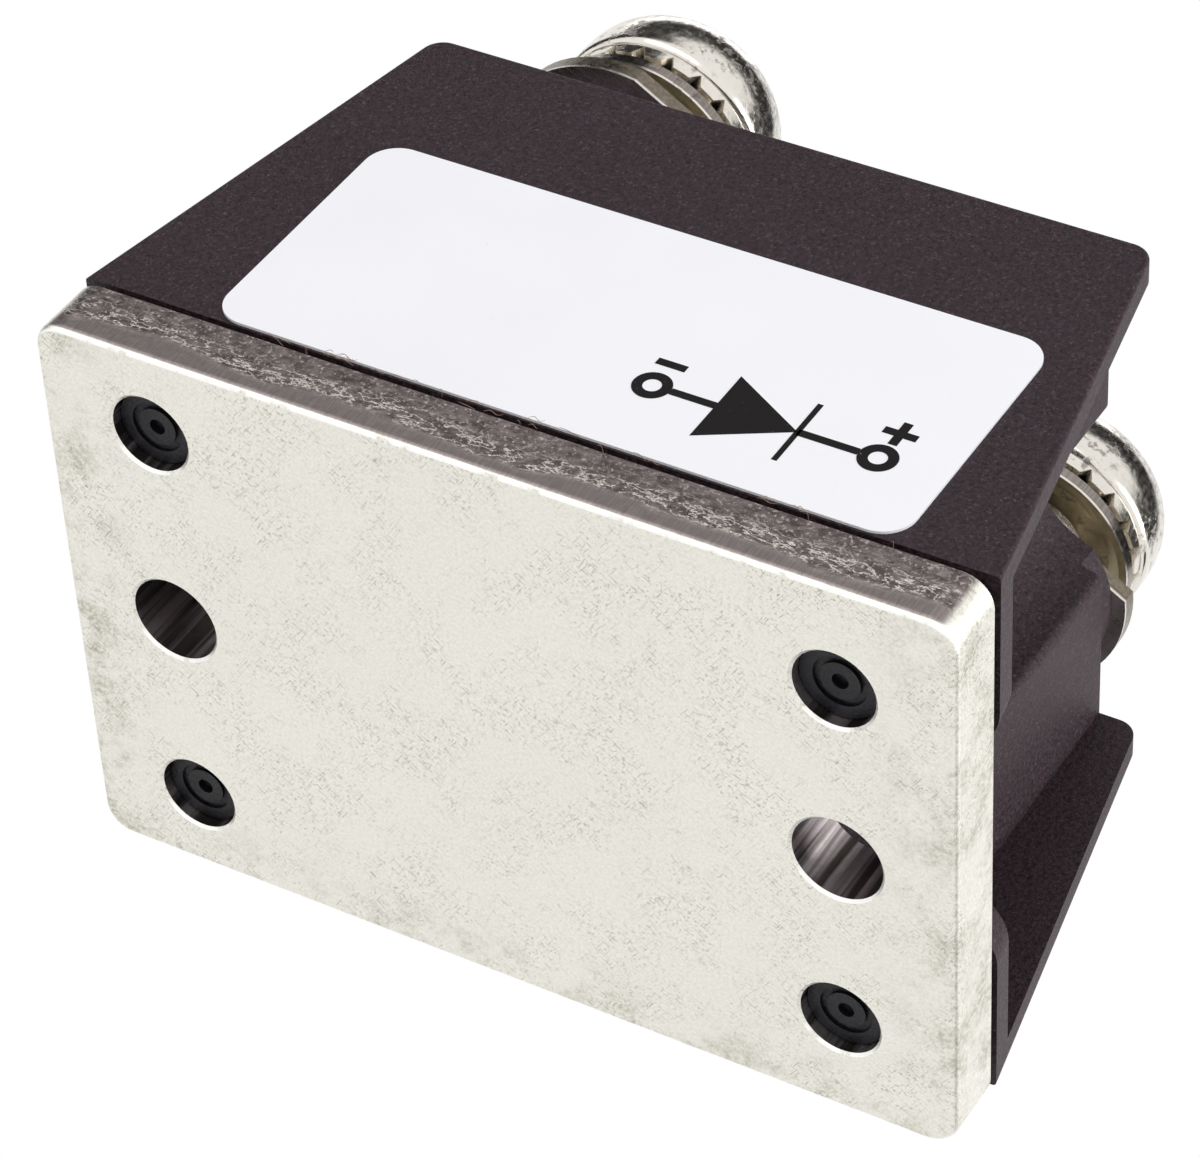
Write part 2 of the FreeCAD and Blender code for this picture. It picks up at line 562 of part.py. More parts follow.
failed = [item.Label for item in doc.Objects if {"Invalid", "Error"} & set(item.State)]
if failed:
    raise RuntimeError(f"failed: {failed}")
for piece in pieces:
    if piece.Shape.isNull() or not piece.Shape.isValid() or len(piece.Shape.Solids) != 1:
        raise RuntimeError(f"{piece.Label} is not one valid solid")

os.makedirs("parts", exist_ok=True)
for piece in pieces:
    piece.Shape.exportStep(os.path.join("parts", f"{piece.Label}.step"))
print(f"{len(pieces)} pieces written")
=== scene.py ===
"""The looks of a screw-terminal diode module: nickel-plated base plate, black moulded housing,
printed label, bent terminal straps and captive terminal screws. Metres, in the frame's own axes:
the plate's mounting face is at z = 0, the terminals are at +Z and the label faces -Y."""
import math

import bpy
import numpy as np
from bpy.props import FloatProperty, FloatVectorProperty, IntProperty, PointerProperty
from mathutils import Matrix, Vector


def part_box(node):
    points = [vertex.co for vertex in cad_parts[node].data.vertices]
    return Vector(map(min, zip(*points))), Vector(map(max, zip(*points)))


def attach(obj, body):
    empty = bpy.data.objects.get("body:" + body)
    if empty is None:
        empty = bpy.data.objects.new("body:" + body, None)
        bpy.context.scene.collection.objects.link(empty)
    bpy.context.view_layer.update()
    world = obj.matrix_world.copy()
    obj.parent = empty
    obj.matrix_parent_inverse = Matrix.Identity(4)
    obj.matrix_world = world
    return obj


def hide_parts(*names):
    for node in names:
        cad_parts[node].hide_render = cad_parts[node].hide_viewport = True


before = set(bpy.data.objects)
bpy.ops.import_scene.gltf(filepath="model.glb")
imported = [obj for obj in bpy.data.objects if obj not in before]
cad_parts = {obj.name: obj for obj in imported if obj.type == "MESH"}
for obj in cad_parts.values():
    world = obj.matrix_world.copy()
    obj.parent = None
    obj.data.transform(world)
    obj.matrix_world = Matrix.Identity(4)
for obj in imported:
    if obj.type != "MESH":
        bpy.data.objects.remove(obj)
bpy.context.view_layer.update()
SIDES = ("left", "right")

# The view of the photograph: the camera's place and its right, up and back directions
CAMERA_PLACE = Vector((0.078518, -0.125501, -0.114950))
CAMERA_RIGHT = Vector((0.86287, 0.04610, 0.50332))
CAMERA_UP = Vector((-0.29556, -0.76179, 0.57647))
CAMERA_BACK = Vector((0.41000, -0.64618, -0.64370))
MIDDLE = Vector((0.0, 0.0, 0.013))

bl_info = {
    "name": "Diode Module",
    "version": (1, 0, 0),
    "blender": (4, 5, 0),
    "location": "3D View > Sidebar > Diode Module",
    "description": "Finishes, label print, screws and stage for a screw-terminal diode module",
    "category": "Add Mesh",
}


def colour(name, description, default):
    """A colour that a user would change."""
    return FloatVectorProperty(name=name, description=description, default=default, subtype="COLOR",
                               size=3, min=0.0, max=1.0)


def length(name, description, default):
    """A length in metres."""
    return FloatProperty(name=name, description=description, default=default, unit="LENGTH",
                         precision=5, min=0.0)


class ModulePlateSettings(bpy.types.PropertyGroup):
    """The base plate's nickel and its wear."""
    face: colour("Face", "Nickel on the mounting face", (0.825, 0.81, 0.74))
    # Sheared side and Torn side: dark base colours of the long sides, a painted dark reflection over the
    # real sheared and torn texture.
    sheared: colour("Sheared side", "Nickel over the sheared long sides", (0.27, 0.235, 0.225))
    torn: colour("Torn side", "Nickel over the torn part of the long sides", (0.185, 0.155, 0.150))
    # Rolled edge: a painted highlight on the rounded edge between the mounting face and the sides.
    edge: colour("Rolled edge", "Bright line round the mounting face", (1.0, 0.99, 0.95))
    grime: colour("Grime", "Thin dirt left on the face", (0.30, 0.27, 0.19))
    # Veins: the colour of painted glints on the torn sides, for both the pale lines and the bright specks.
    glint: colour("Veins", "Bright veins and sparks of the torn sides", (0.88, 0.82, 0.76))
    # Hole colours: painted shade (dark) and painted reflections (pale), streaked along the drawn walls of
    # the holes.
    hole_shade: colour("Hole, dark", "Dark streaks of the holes' walls", (0.07, 0.06, 0.055))
    hole_reflection: colour("Hole, pale", "Pale streaks of the holes' walls", (0.44, 0.39, 0.40))
    burnished: length("Burnished band", "Height of the smooth band of the sheared side", 0.0012)
    grime_edge: length("Grime edge", "How far the dirt reaches in from the left end", 0.0042)


class ModuleMouldingSettings(bpy.types.PropertyGroup):
    """The black moulding."""
    moulding: colour("Moulding", "Filled black plastic", (0.0190, 0.0095, 0.0135))
    peg: colour("Pegs", "Melted and smoothed plastic of the staked pegs", (0.006, 0.006, 0.009))
    fleck: colour("Fleck", "Pale fibre ends and dust in the surface", (0.22, 0.18, 0.20))
    fleck_size: length("Fleck size", "Size of the smallest flecks", 0.000035)
    lint: colour("Lint", "Dust fibres in the groove under the label", (0.34, 0.22, 0.15))
    fibres: IntProperty(name="Fibres", description="Number of dust fibres", default=30, min=1)


class ModuleLabelSettings(bpy.types.PropertyGroup):
    """The label and its printed diode symbol."""
    film: colour("Film", "White label film", (0.90, 0.90, 0.935))
    ink: colour("Ink", "Black print", (0.008, 0.006, 0.007))
    dust: colour("Dust", "Specks of dust on the film", (0.35, 0.32, 0.30))
    pinhole: colour("Pinholes", "Film seen through pinholes in the ink", (0.5, 0.5, 0.52))
    line: length("Line", "Width of the printed lines", 0.00038)
    ring: length("Ring", "Outer radius of the symbol's terminal rings", 0.00080)
    bar: length("Bar", "Length of the cathode bar", 0.0037)
    arrow: length("Arrow", "Width of the triangle's base", 0.0040)
    symbol_height: length("Symbol height", "The symbol's middle over the label's lower edge", 0.00382)
    ink_thickness: length("Ink thickness", "Height of the ink over the film", 0.000012)


class ModuleTerminalSettings(bpy.types.PropertyGroup):
    """The screws, washers, nuts and straps."""
    bright: colour("Bright nickel", "Plating of the screws and lock washers", (0.79, 0.755, 0.69))
    golden: colour("Golden underside", "Tarnished plating under the dished washers", (0.47, 0.40, 0.27))
    rim: colour("Rim", "Cut rim of the dished washers", (0.27, 0.235, 0.215))
    cut_edge: colour("Cut edge", "Sheared edges of the straps", (0.215, 0.185, 0.145))
    strap: colour("Strap", "Satin plating of the straps", (0.74, 0.71, 0.66))
    scuff: colour("Scuffs", "Scuffs on the bright plating", (0.14, 0.12, 0.11))
    # Rubbed band: a painted dark reflection on the domes' flanks, placed by the height of the normal.
    dark_reflection: colour("Rubbed band", "Rubbed plating round the domes", (0.17, 0.14, 0.145))
    scratch: colour("Scratches", "Scratches in the straps", (0.25, 0.22, 0.18))
    gap: colour("Tooth gaps", "Shaded gaps of the toothed washers", (0.07, 0.058, 0.035))
    pitch: length("Thread pitch", "Rise of the thread in one turn", 0.0008)
    thread_depth: length("Thread depth", "Depth of the thread below its crests", 0.00045)
    head_side: length("Head side", "Height of the head's straight side", 0.0009)
    head_height: length("Head height", "Height of the head", 0.0047)
    head_lip: length("Head lip", "Radius of the head's lower edge", 0.00032)
    head_round: FloatProperty(name="Head round", description="Two is a round dome; more is squarer",
                              default=2.35, min=1.5, max=6.0)
    shank: length("Shank", "Diameter over the thread", 0.00495)
    recess_span: length("Recess span", "Tip to tip length of the cross recess", 0.0050)
    recess_width: length("Recess width", "Width of the recess's arms", 0.0011)
    recess_depth: length("Recess depth", "Depth of the cross recess", 0.0022)
    teeth: IntProperty(name="Teeth", description="Teeth of the lock washers", default=21, min=6)
    tooth_gap: FloatProperty(name="Tooth gap", default=0.42, min=0.05, max=0.9,
                             description="Widest part of a gap, as a share of a tooth's step")
    turns: IntProperty(name="Steps round", description="Faces round each screw", default=192, min=48)


class ModuleInnerSettings(bpy.types.PropertyGroup):
    """The pieces inside the housing."""
    copper: colour("Copper", "Board copper and the clip", (0.72, 0.36, 0.22))
    solder: colour("Solder", "Solder layers", (0.62, 0.62, 0.60))
    ceramic: colour("Ceramic", "White ceramic board", (0.86, 0.86, 0.83))
    silicon: colour("Silicon", "Chip", (0.10, 0.10, 0.13))
    gel: colour("Gel", "Clear soft potting", (0.80, 0.80, 0.76))


class ModuleStageSettings(bpy.types.PropertyGroup):
    """The stage, its light and the camera."""
    floor: colour("Floor", "Plain pale floor", (0.86, 0.865, 0.875))
    floor_radius: length("Floor radius", "Half the width of the floor", 3.0)
    ambient: FloatProperty(name="Ambient", description="Light from all round", default=0.62, min=0.0)
    key: FloatProperty(name="Key lamp", description="Power of the large soft lamp", default=0.5, min=0.0,
                       unit="POWER")
    focal: FloatProperty(name="Focal length", description="Camera lens for a 36 mm wide sensor",
                         default=145.0, min=1.0, unit="CAMERA")


SETTINGS = {
    "module_plate": ModulePlateSettings,
    "module_moulding": ModuleMouldingSettings,
    "module_label": ModuleLabelSettings,
    "module_terminals": ModuleTerminalSettings,
    "module_inner": ModuleInnerSettings,
    "module_stage": ModuleStageSettings,
}


class Tree:
    """Adds nodes to one node tree and joins them up."""

    def __init__(self, tree):
        self.tree = tree

    def add(self, kind, inputs=(), **settings):
        """A node with its settings, its inputs given by name or number as values or sockets."""
        made = self.tree.nodes.new(kind)
        made.location.x = 190.0 * len(self.tree.nodes)
        for name, value in settings.items():
            setattr(made, name, value)
        for name, value in dict(inputs).items():
            self.give(value, made.inputs[name])
        return made

    def give(self, value, socket):
        """Links a socket to another, or sets it to a plain value."""
        if isinstance(value, bpy.types.NodeSocket):
            self.tree.links.new(value, socket)
        else:
            socket.default_value = value

    def math(self, operation, first, second=0.0, clamp=False):
        inputs = {0: first, 1: second}
        return self.add("ShaderNodeMath", inputs, operation=operation, use_clamp=clamp).outputs[0]

    def times(self, first, *others):
        """The product of all the values."""
        for other in others:
            first = self.math("MULTIPLY", first, other)
        return first

    def largest(self, first, *others):
        for other in others:
            first = self.math("MAXIMUM", first, other)
        return first

    def plus(self, first, second):
        return self.math("ADD", first, second)

    def minus(self, first, second):
        return self.math("SUBTRACT", first, second)

    def over(self, value, level, width):
        """Nought up to a level, then rising evenly to one over a width."""
        return self.math("DIVIDE", self.minus(value, level), width, clamp=True)

    def step(self, value, low, high, start=0.0, end=1.0):
        """A smooth step from start at low to end at high."""
        inputs = {"Value": value, "From Min": low, "From Max": high, "To Min": start, "To Max": end}
        return self.add("ShaderNodeMapRange", inputs, interpolation_type="SMOOTHSTEP").outputs[0]

    def spread(self, noise, start, end):
        """The usual range of a noise, spread from start to end."""
        return self.step(noise, 0.3, 0.7, start, end)

    def split(self, vector):
        """The x, y and z of a vector."""
        return self.add("ShaderNodeSeparateXYZ", {0: vector}).outputs

    def noise(self, vector, scale, detail=3.0, roughness=0.5):
        inputs = {"Vector": vector, "Scale": scale, "Detail": detail, "Roughness": roughness}
        return self.add("ShaderNodeTexNoise", inputs).outputs["Fac"]

    def stretch(self, vector, scale, angle=0.0):
        """A vector stretched along its axes, after a turn about Z."""
        inputs = {"Vector": vector, "Scale": scale, "Rotation": (0.0, 0.0, angle)}
        return self.add("ShaderNodeMapping", inputs, vector_type="TEXTURE").outputs[0]

    def blend(self, share, first, second, mode="MIX"):
        """The second colour over the first by a share."""
        made = self.add("ShaderNodeMix", data_type="RGBA", blend_type=mode)
        self.give(share, made.inputs[0])
        for value, socket in ((first, made.inputs[6]), (second, made.inputs[7])):
            linked = isinstance(value, bpy.types.NodeSocket)
            self.give(value if linked else (*value[:3], 1.0), socket)
        return made.outputs[2]

    def shade(self, base, value):
        """A colour multiplied by a grey value."""
        grey = self.add("ShaderNodeCombineColor", {0: value, 1: value, 2: value}).outputs[0]
        return self.blend(1.0, base, grey, "MULTIPLY")


class Finish(Tree):
    """A material with one Principled BSDF; constants go on the shader's own sockets. The patterns
    read the object's own coordinates (spot) and its normal."""

    def __init__(self, name, **constants):
        self.material = bpy.data.materials.new(name)
        self.material.use_nodes = True
        self.material.node_tree.nodes.clear()
        super().__init__(self.material.node_tree)
        place = self.add("ShaderNodeTexCoord")
        self.spot = place.outputs["Object"]
        self.normal = place.outputs["Normal"]
        self.shader = self.add("ShaderNodeBsdfPrincipled")
        output = self.add("ShaderNodeOutputMaterial")
        self.give(self.shader.outputs[0], output.inputs["Surface"])
        for title, value in constants.items():
            self.shader.inputs[title.replace("_", " ")].default_value = value

    def group(self, name, **inputs):
        """The result of a shared node group, placed on the object's own coordinates."""
        inputs["Vector"] = self.spot
        return self.add("ShaderNodeGroup", inputs, node_tree=bpy.data.node_groups[name]).outputs[0]

    def done(self, base, roughness, height=None, depth=0.00001):
        """Joins colour, roughness and a bump of the given depth in metres, and gives the material."""
        self.give(base, self.shader.inputs["Base Color"])
        self.give(roughness, self.shader.inputs["Roughness"])
        if height is not None:
            bump = self.add("ShaderNodeBump", {"Height": height, "Distance": depth, "Strength": 1.0})
            self.give(bump.outputs[0], self.shader.inputs["Normal"])
        return self.material


def new_group(name, numbers, output):
    """An empty node group with a vector input, number inputs and one number output: its tree, its
    inputs and the socket that takes its result."""
    group = bpy.data.node_groups.new(name, "ShaderNodeTree")
    group.interface.new_socket(name="Vector", in_out="INPUT", socket_type="NodeSocketVector")
    for title, default in numbers.items():
        socket = group.interface.new_socket(name=title, in_out="INPUT", socket_type="NodeSocketFloat")
        socket.default_value = default
    group.interface.new_socket(name=output, in_out="OUTPUT", socket_type="NodeSocketFloat")
    tree = Tree(group)
    return tree, tree.add("NodeGroupInput").outputs, tree.add("NodeGroupOutput").inputs[output]


def specks_group():
    """Small marks scattered over a surface: noise cut off at a level set by the cover wanted."""
    tree, given, mask = new_group("Specks", {"Size": 0.0001, "Cover": 0.2}, "Mask")
    field = tree.noise(given["Vector"], tree.math("DIVIDE", 0.25, given["Size"]), 4.0, 0.62)
    level = tree.minus(0.72, tree.times(given["Cover"], 0.4))
    tree.give(tree.over(field, level, 0.09), mask)


def scratches_group():
    """Short straight scratches in two directions: noise stretched along a turned axis and cut off."""
    tree, given, mask = new_group("Scratches", {"Size": 0.0001, "Cover": 0.2}, "Mask")
    masks = []
    for angle in (0.62, -0.95):
        lengthwise = tree.stretch(given["Vector"], (13.0, 1.0, 1.0), angle)
        field = tree.noise(lengthwise, tree.math("DIVIDE", 0.5, given["Size"]), 2.0, 0.5)
        level = tree.minus(0.76, tree.times(given["Cover"], 0.3))
        masks.append(tree.over(field, level, 0.06))
    tree.give(tree.largest(*masks), mask)


def clouds_group():
    """Slow changes of tone about one: noise centred on nought, doubled and scaled by the depth."""
    tree, given, value = new_group("Clouds", {"Size": 0.005, "Depth": 0.1}, "Value")
    field = tree.noise(given["Vector"], tree.math("DIVIDE", 0.5, given["Size"]), 4.0, 0.55)
    tree.give(tree.plus(1.0, tree.times(tree.minus(field, 0.5), 2.0, given["Depth"])), value)


def plate_material(settings):
    """Nickel over stamped copper: a pale matt mounting face, long sides that are burnished next to the
    face and torn above, darkened there by a painted dark reflection, and drawn walls in the holes
    with painted shade and painted reflections."""
    tree = Finish("plate_nickel", Metallic=1.0)
    lean = tree.math("ABSOLUTE", tree.split(tree.normal)[1])
    # Long sides, with normals mostly along Y: their dark base colour is a painted dark reflection.
    side = tree.step(lean, 0.80, 0.94)
    scratches = tree.group("Scratches", Size=0.00003, Cover=0.46)
    sheared, tear, grain = plate_side(tree, settings)
    base = tree.blend(side, plate_face(tree, settings, lean, scratches), sheared)
    # Hole walls: painted shade and painted reflections in streaks.
    base = tree.blend(inside_holes(tree), base, hole_wall_shade_and_reflections(tree, settings))

    texture = tree.noise(tree.spot, 5600.0, 3.0, 0.6)
    dents = tree.noise(tree.spot, 640.0, 3.0, 0.5)
    relief = tree.plus(texture, tree.times(dents, 1.6))
    relief = tree.minus(relief, tree.times(scratches, 0.6))
    relief = tree.plus(relief, tree.times(side, tear, grain, 14.0))
    roughness = tree.plus(tree.spread(texture, 0.34, 0.46), tree.times(side, 0.04))
    return tree.done(base, roughness, relief, 0.0000028)


def plate_face(tree, settings, lean, scratches):
    """The mounting face: mottled nickel with uneven specks and scratches, dirt along both ends and
    the far side, and a broken painted highlight on the rounded edge where the long sides begin."""
    low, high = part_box("base_plate")
    x, y, z = tree.split(tree.spot)
    face = tree.shade(settings.face, tree.group("Clouds", Size=0.004, Depth=0.04))
    face = tree.shade(face, tree.spread(tree.noise(tree.spot, 7200.0, 4.0, 0.7), 0.90, 1.05))

    fine_specks = tree.group("Specks", Size=0.00004, Cover=0.38)
    specks = tree.group("Specks", Size=0.00013, Cover=0.24)
    uneven = tree.step(tree.noise(tree.spot, 260.0, 4.0, 0.65), 0.38, 0.62, 0.06, 0.72)
    marks = tree.largest(fine_specks, specks, scratches)
    face = tree.blend(tree.times(marks, uneven), face, settings.grime)

    left = tree.step(x, low.x, low.x + settings.grime_edge, 1.0, 0.0)
    right = tree.step(x, high.x - 0.0040, high.x, 0.0, 0.75)
    far = tree.step(y, high.y - 0.0035, high.y, 0.0, 0.75)
    patches = tree.step(tree.noise(tree.spot, 330.0, 5.0, 0.7), 0.45, 0.64)
    fine = tree.step(tree.noise(tree.spot, 4200.0, 3.0, 0.6), 0.38, 0.62, 0.25, 1.0)
    dirt = tree.times(tree.largest(left, right, far), patches, fine, 0.75)
    face = tree.blend(dirt, face, settings.grime)

    # Painted highlight on the rounded edges next to the face, broken up by noise.
    broken = tree.step(tree.noise(tree.spot, 900.0, 3.0, 0.6), 0.34, 0.50)
    rolled_highlight = tree.times(tree.step(lean, 0.3, 0.5), tree.step(z, 0.0, 0.0007, 1.0, 0.0), broken)
    return tree.blend(rolled_highlight, face, settings.edge)


def plate_side(tree, settings):
    """A long side's colour, the share of it that is torn, and the grain of the tear. Its dark tones are
    painted dark reflection.

    Low band: smooth, with fine drawn streaks. Above: dark grain with painted glints, as bright specks
    and as pale lines where a wandering noise crosses its middle value. The line between the low band
    and the grain drifts with a slow noise."""
    smooth_top = settings.burnished
    streaks = tree.noise(tree.stretch(tree.spot, (1.0, 1.0, 14.0)), 15000.0, 3.0, 0.6)
    smooth = tree.shade(settings.sheared, tree.spread(streaks, 0.82, 1.14))
    grain = tree.noise(tree.stretch(tree.spot, (1.6, 1.6, 1.0)), 2600.0, 5.0, 0.66)
    wander = tree.noise(tree.stretch(tree.spot, (2.6, 1.0, 1.0)), 2100.0, 4.0, 0.65)
    off_middle = tree.math("ABSOLUTE", tree.minus(wander, 0.5))
    drift = tree.times(tree.noise(tree.spot, 260.0, 2.0), 0.0016)
    level = tree.plus(tree.split(tree.spot)[2], drift)
    band = tree.times(tree.step(level, smooth_top + 0.0005, smooth_top + 0.0008),
                      tree.step(level, smooth_top + 0.0013, smooth_top + 0.0019, 1.0, 0.12))
    # Pale lines and bright specks on the torn part: painted glints.
    vein_glints = tree.times(tree.step(off_middle, 0.0, 0.03, 1.0, 0.0), band)
    spark_glints = tree.times(tree.group("Specks", Size=0.00004, Cover=0.40), 0.5)
    torn = tree.shade(settings.torn, tree.step(grain, 0.35, 0.65, 0.6, 1.4))
    torn = tree.blend(tree.largest(vein_glints, spark_glints), torn, settings.glint)
    tear = tree.step(level, smooth_top + 0.0004, smooth_top + 0.0008)
    return tree.blend(tear, smooth, torn), tear, grain


def inside_holes(tree):
    """One on upright walls well inside the plate's outline, and nought elsewhere."""
    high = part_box("base_plate")[1]
    x, y, z = tree.split(tree.spot)
    upright = tree.step(tree.math("ABSOLUTE", tree.split(tree.normal)[2]), 0.0, 0.4, 1.0, 0.0)
    off_ends = tree.math("LESS_THAN", tree.math("ABSOLUTE", x), high.x - 0.002)
    off_sides = tree.math("LESS_THAN", tree.math("ABSOLUTE", y), high.y - 0.001)
    return tree.times(upright, off_ends, off_sides)


def hole_wall_shade_and_reflections(tree, settings):
    """Drawn streaks down the walls of the holes, dark as painted shade and pale as painted reflections."""
    drawn = tree.noise(tree.stretch(tree.spot, (1.0, 1.0, 30.0)), 1300.0, 3.0, 0.6)
    return tree.blend(tree.step(drawn, 0.42, 0.60), settings.hole_shade, settings.hole_reflection)


def bright_material(name, settings, golden=False, toothed=False):
    """Bright nickel with scuffs and a painted dark reflection in a band round the domes. A dished
    washer has its own tones, and the gaps of a toothed washer get painted shade, by the piece's own
    gap attribute."""
    tree = Finish(name, Metallic=1.0)
    lift = tree.split(tree.normal)[2]
    base = tree.shade(settings.bright, tree.group("Clouds", Size=0.0018, Depth=0.07))
    if golden:
        base = dished_tones(tree, settings, base, lift)
    patches = tree.step(tree.noise(tree.spot, 420.0, 3.0, 0.6), 0.41, 0.60)
    scuffs = tree.times(tree.group("Specks", Size=0.00011, Cover=0.46), patches)
    base = tree.blend(tree.times(scuffs, 0.65), base, settings.scuff)
    # A band round the domes by the height of the normal, broken by noise: painted dark reflection.
    reflection_band = tree.times(tree.step(lift, 0.10, 0.35), tree.step(lift, 0.55, 0.85, 1.0, 0.0))
    dark_reflection = tree.noise(tree.stretch(tree.spot, (1.0, 1.0, 2.2)), 3300.0, 4.0, 0.7)
    reflection_band = tree.times(reflection_band, tree.step(dark_reflection, 0.40, 0.62), 0.6)
    base = tree.blend(reflection_band, base, settings.dark_reflection)
    # Tooth gaps: their dark colour is painted shade.
    if toothed:
        gap = tree.add("ShaderNodeAttribute", attribute_name="gap").outputs["Fac"]
        base = tree.blend(gap, base, settings.gap)

    fine = tree.noise(tree.spot, 3800.0, 3.0, 0.6)
    relief = tree.plus(tree.times(tree.noise(tree.spot, 700.0, 3.0, 0.55), 4.0), fine)
    relief = tree.minus(relief, tree.times(scuffs, 1.5))
    roughness = tree.plus(tree.spread(fine, 0.13, 0.23), tree.times(scuffs, 0.25))
    if golden:
        roughness = tree.plus(roughness, tree.step(lift, -0.6, -0.35, 0.22, 0.0))
    return tree.done(base, roughness, relief, 0.0000045)


def dished_tones(tree, settings, base, lift):
    """A dished washer's tones over the bright base: a cut rim with drawn lines and a bright lower
    edge, and a tarnished golden underside."""
    height = tree.split(tree.spot)[2]
    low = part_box("cup_washer_left")[0].z
    tarnish = tree.spread(tree.noise(tree.spot, 900.0, 4.0, 0.6), 0.75, 1.2)
    under = tree.shade(settings.golden, tarnish)
    drawn = tree.noise(tree.stretch(tree.spot, (1.0, 1.0, 25.0)), 9000.0, 2.0, 0.5)
    rim = tree.shade(settings.rim, tree.step(drawn, 0.35, 0.65, 0.85, 1.15))
    lower_edge = tree.step(height, low + 0.00009, low + 0.00015, 1.0, 0.0)
    rim = tree.blend(lower_edge, rim, settings.bright)
    upright = tree.step(tree.math("ABSOLUTE", lift), 0.35, 0.6, 1.0, 0.0)
    base = tree.blend(upright, base, rim)
    base = tree.blend(tree.step(lift, -0.6, -0.35, 1.0, 0.0), base, under)
    inside = tree.math("LESS_THAN", height, low + 0.0004)
    return tree.blend(tree.times(inside, tree.step(lift, -0.5, -0.2, 1.0, 0.0)), base, under)


def strap_material(settings):
    """Satin plated strip with rolling lines, a few scratches, and brownish sheared edges with a
    bright line along their lower side."""
    tree = Finish("strap_nickel", Metallic=1.0)
    rolling_angle = 0.56
    lines = tree.noise(tree.stretch(tree.spot, (12.0, 1.0, 1.0), rolling_angle), 3600.0, 2.0, 0.5)
    base = tree.shade(settings.strap, tree.group("Clouds", Size=0.002, Depth=0.08))
    height = tree.split(tree.spot)[2]
    flat = tree.math("ABSOLUTE", tree.split(tree.normal)[2])
    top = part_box("terminal_strap_left")[1].z
    fine = tree.spread(tree.noise(tree.spot, 6000.0, 3.0, 0.6), 0.8, 1.2)
    lower_line = tree.step(height, top - 0.00070, top - 0.00064, 1.0, 0.0)
    edge = tree.blend(lower_line, tree.shade(settings.cut_edge, fine), settings.strap)
    base = tree.blend(tree.step(flat, 0.3, 0.6, 1.0, 0.0), base, edge)
    scratches = tree.group("Scratches", Size=0.00007, Cover=0.35)
    base = tree.blend(tree.times(scratches, 0.3), base, settings.scratch)
    return tree.done(base, tree.spread(lines, 0.24, 0.36), tree.minus(lines, scratches), 0.000004)


def moulding_material(settings):
    """Filled black plastic, matt, with a fine spark-eroded grain, pale flecks and a little dust.
    The pegs, below the moulding's own underside, are darker and smoother."""
    tree = Finish("black_moulding", Specular_IOR_Level=0.31)
    base = tree.shade(settings.moulding, tree.group("Clouds", Size=0.003, Depth=0.22))
    fine = tree.noise(tree.spot, 5200.0, 4.0, 0.7)
    base = tree.shade(base, tree.spread(fine, 0.2, 2.1))
    flecks = tree.group("Specks", Size=settings.fleck_size, Cover=0.34)
    fibres = tree.group("Scratches", Size=0.00004, Cover=0.10)
    base = tree.blend(tree.times(tree.largest(flecks, fibres), 0.24), base, settings.fleck)
    peg = tree.step(tree.split(tree.spot)[2], 0.0020, 0.0024, 1.0, 0.0)
    base = tree.blend(peg, base, settings.peg)
    grain = tree.noise(tree.spot, 2300.0, 4.0, 0.6)
    relief = tree.plus(tree.times(fine, 1.4), tree.times(grain, 1.8))
    roughness = tree.minus(tree.spread(fine, 0.44, 0.68), tree.times(peg, 0.2))
    return tree.done(base, roughness, relief, 0.000032)


def label_material(settings):
    """Semi-gloss white film with a faint unevenness and a few specks of dust."""
    tree = Finish("label_film", Specular_IOR_Level=0.5)
    base = tree.shade(settings.film, tree.group("Clouds", Size=0.006, Depth=0.015))
    dust = tree.group("Specks", Size=0.00006, Cover=0.05)
    base = tree.blend(tree.times(dust, 0.5), base, settings.dust)
    wave = tree.noise(tree.spot, 260.0, 2.0, 0.4)
    return tree.done(base, tree.spread(wave, 0.30, 0.38), wave, 0.00001)


def ink_material(settings):
    """Black print with fine pinholes."""
    tree = Finish("label_ink", Specular_IOR_Level=0.16)
    pinholes = tree.group("Specks", Size=0.00005, Cover=0.12)
    base = tree.blend(tree.times(pinholes, 0.25), settings.ink, settings.pinhole)
    fine = tree.noise(tree.spot, 3000.0, 2.0)
    return tree.done(base, tree.spread(fine, 0.4, 0.52), fine, 0.000003)


def inner_material(name, base_colour, roughness, depth, size, **constants):
    """A plain inner finish: one colour with clouds of the given depth and size, and a fine grain."""
    tree = Finish(name, **constants)
    base = tree.shade(base_colour, tree.group("Clouds", Size=size, Depth=depth))
    fine = tree.noise(tree.spot, 2400.0, 3.0)
    return tree.done(base, tree.spread(fine, roughness * 0.85, roughness * 1.15), fine, 0.000004)


def lint_material(settings):
    """Fine brownish dust fibres."""
    tree = Finish("lint", Specular_IOR_Level=0.2)
    base = tree.shade(settings.lint, tree.group("Clouds", Size=0.0006, Depth=0.3))
    return tree.done(base, tree.spread(tree.noise(tree.spot, 3000.0, 2.0), 0.6, 0.8))


def dress(material, *nodes):
    """Gives a material to the slots of CAD nodes."""
    for name in nodes:
        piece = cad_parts[name]
        if not piece.material_slots:
            piece.data.materials.append(None)
        for slot in piece.material_slots:
            slot.link = "OBJECT"
            slot.material = material


def new_piece(name, points, faces, material, body, smooth=True):
    """A mesh piece with its place in its mesh, riding on a body."""
    mesh = bpy.data.meshes.new(name)
    mesh.from_pydata(points, [], faces)
    mesh.polygons.foreach_set("use_smooth", np.full(len(mesh.polygons), smooth))
    mesh.materials.append(material)
    mesh.update()
    piece = bpy.data.objects.new(name, mesh)
    bpy.context.scene.collection.objects.link(piece)
    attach(piece, body)
    return piece


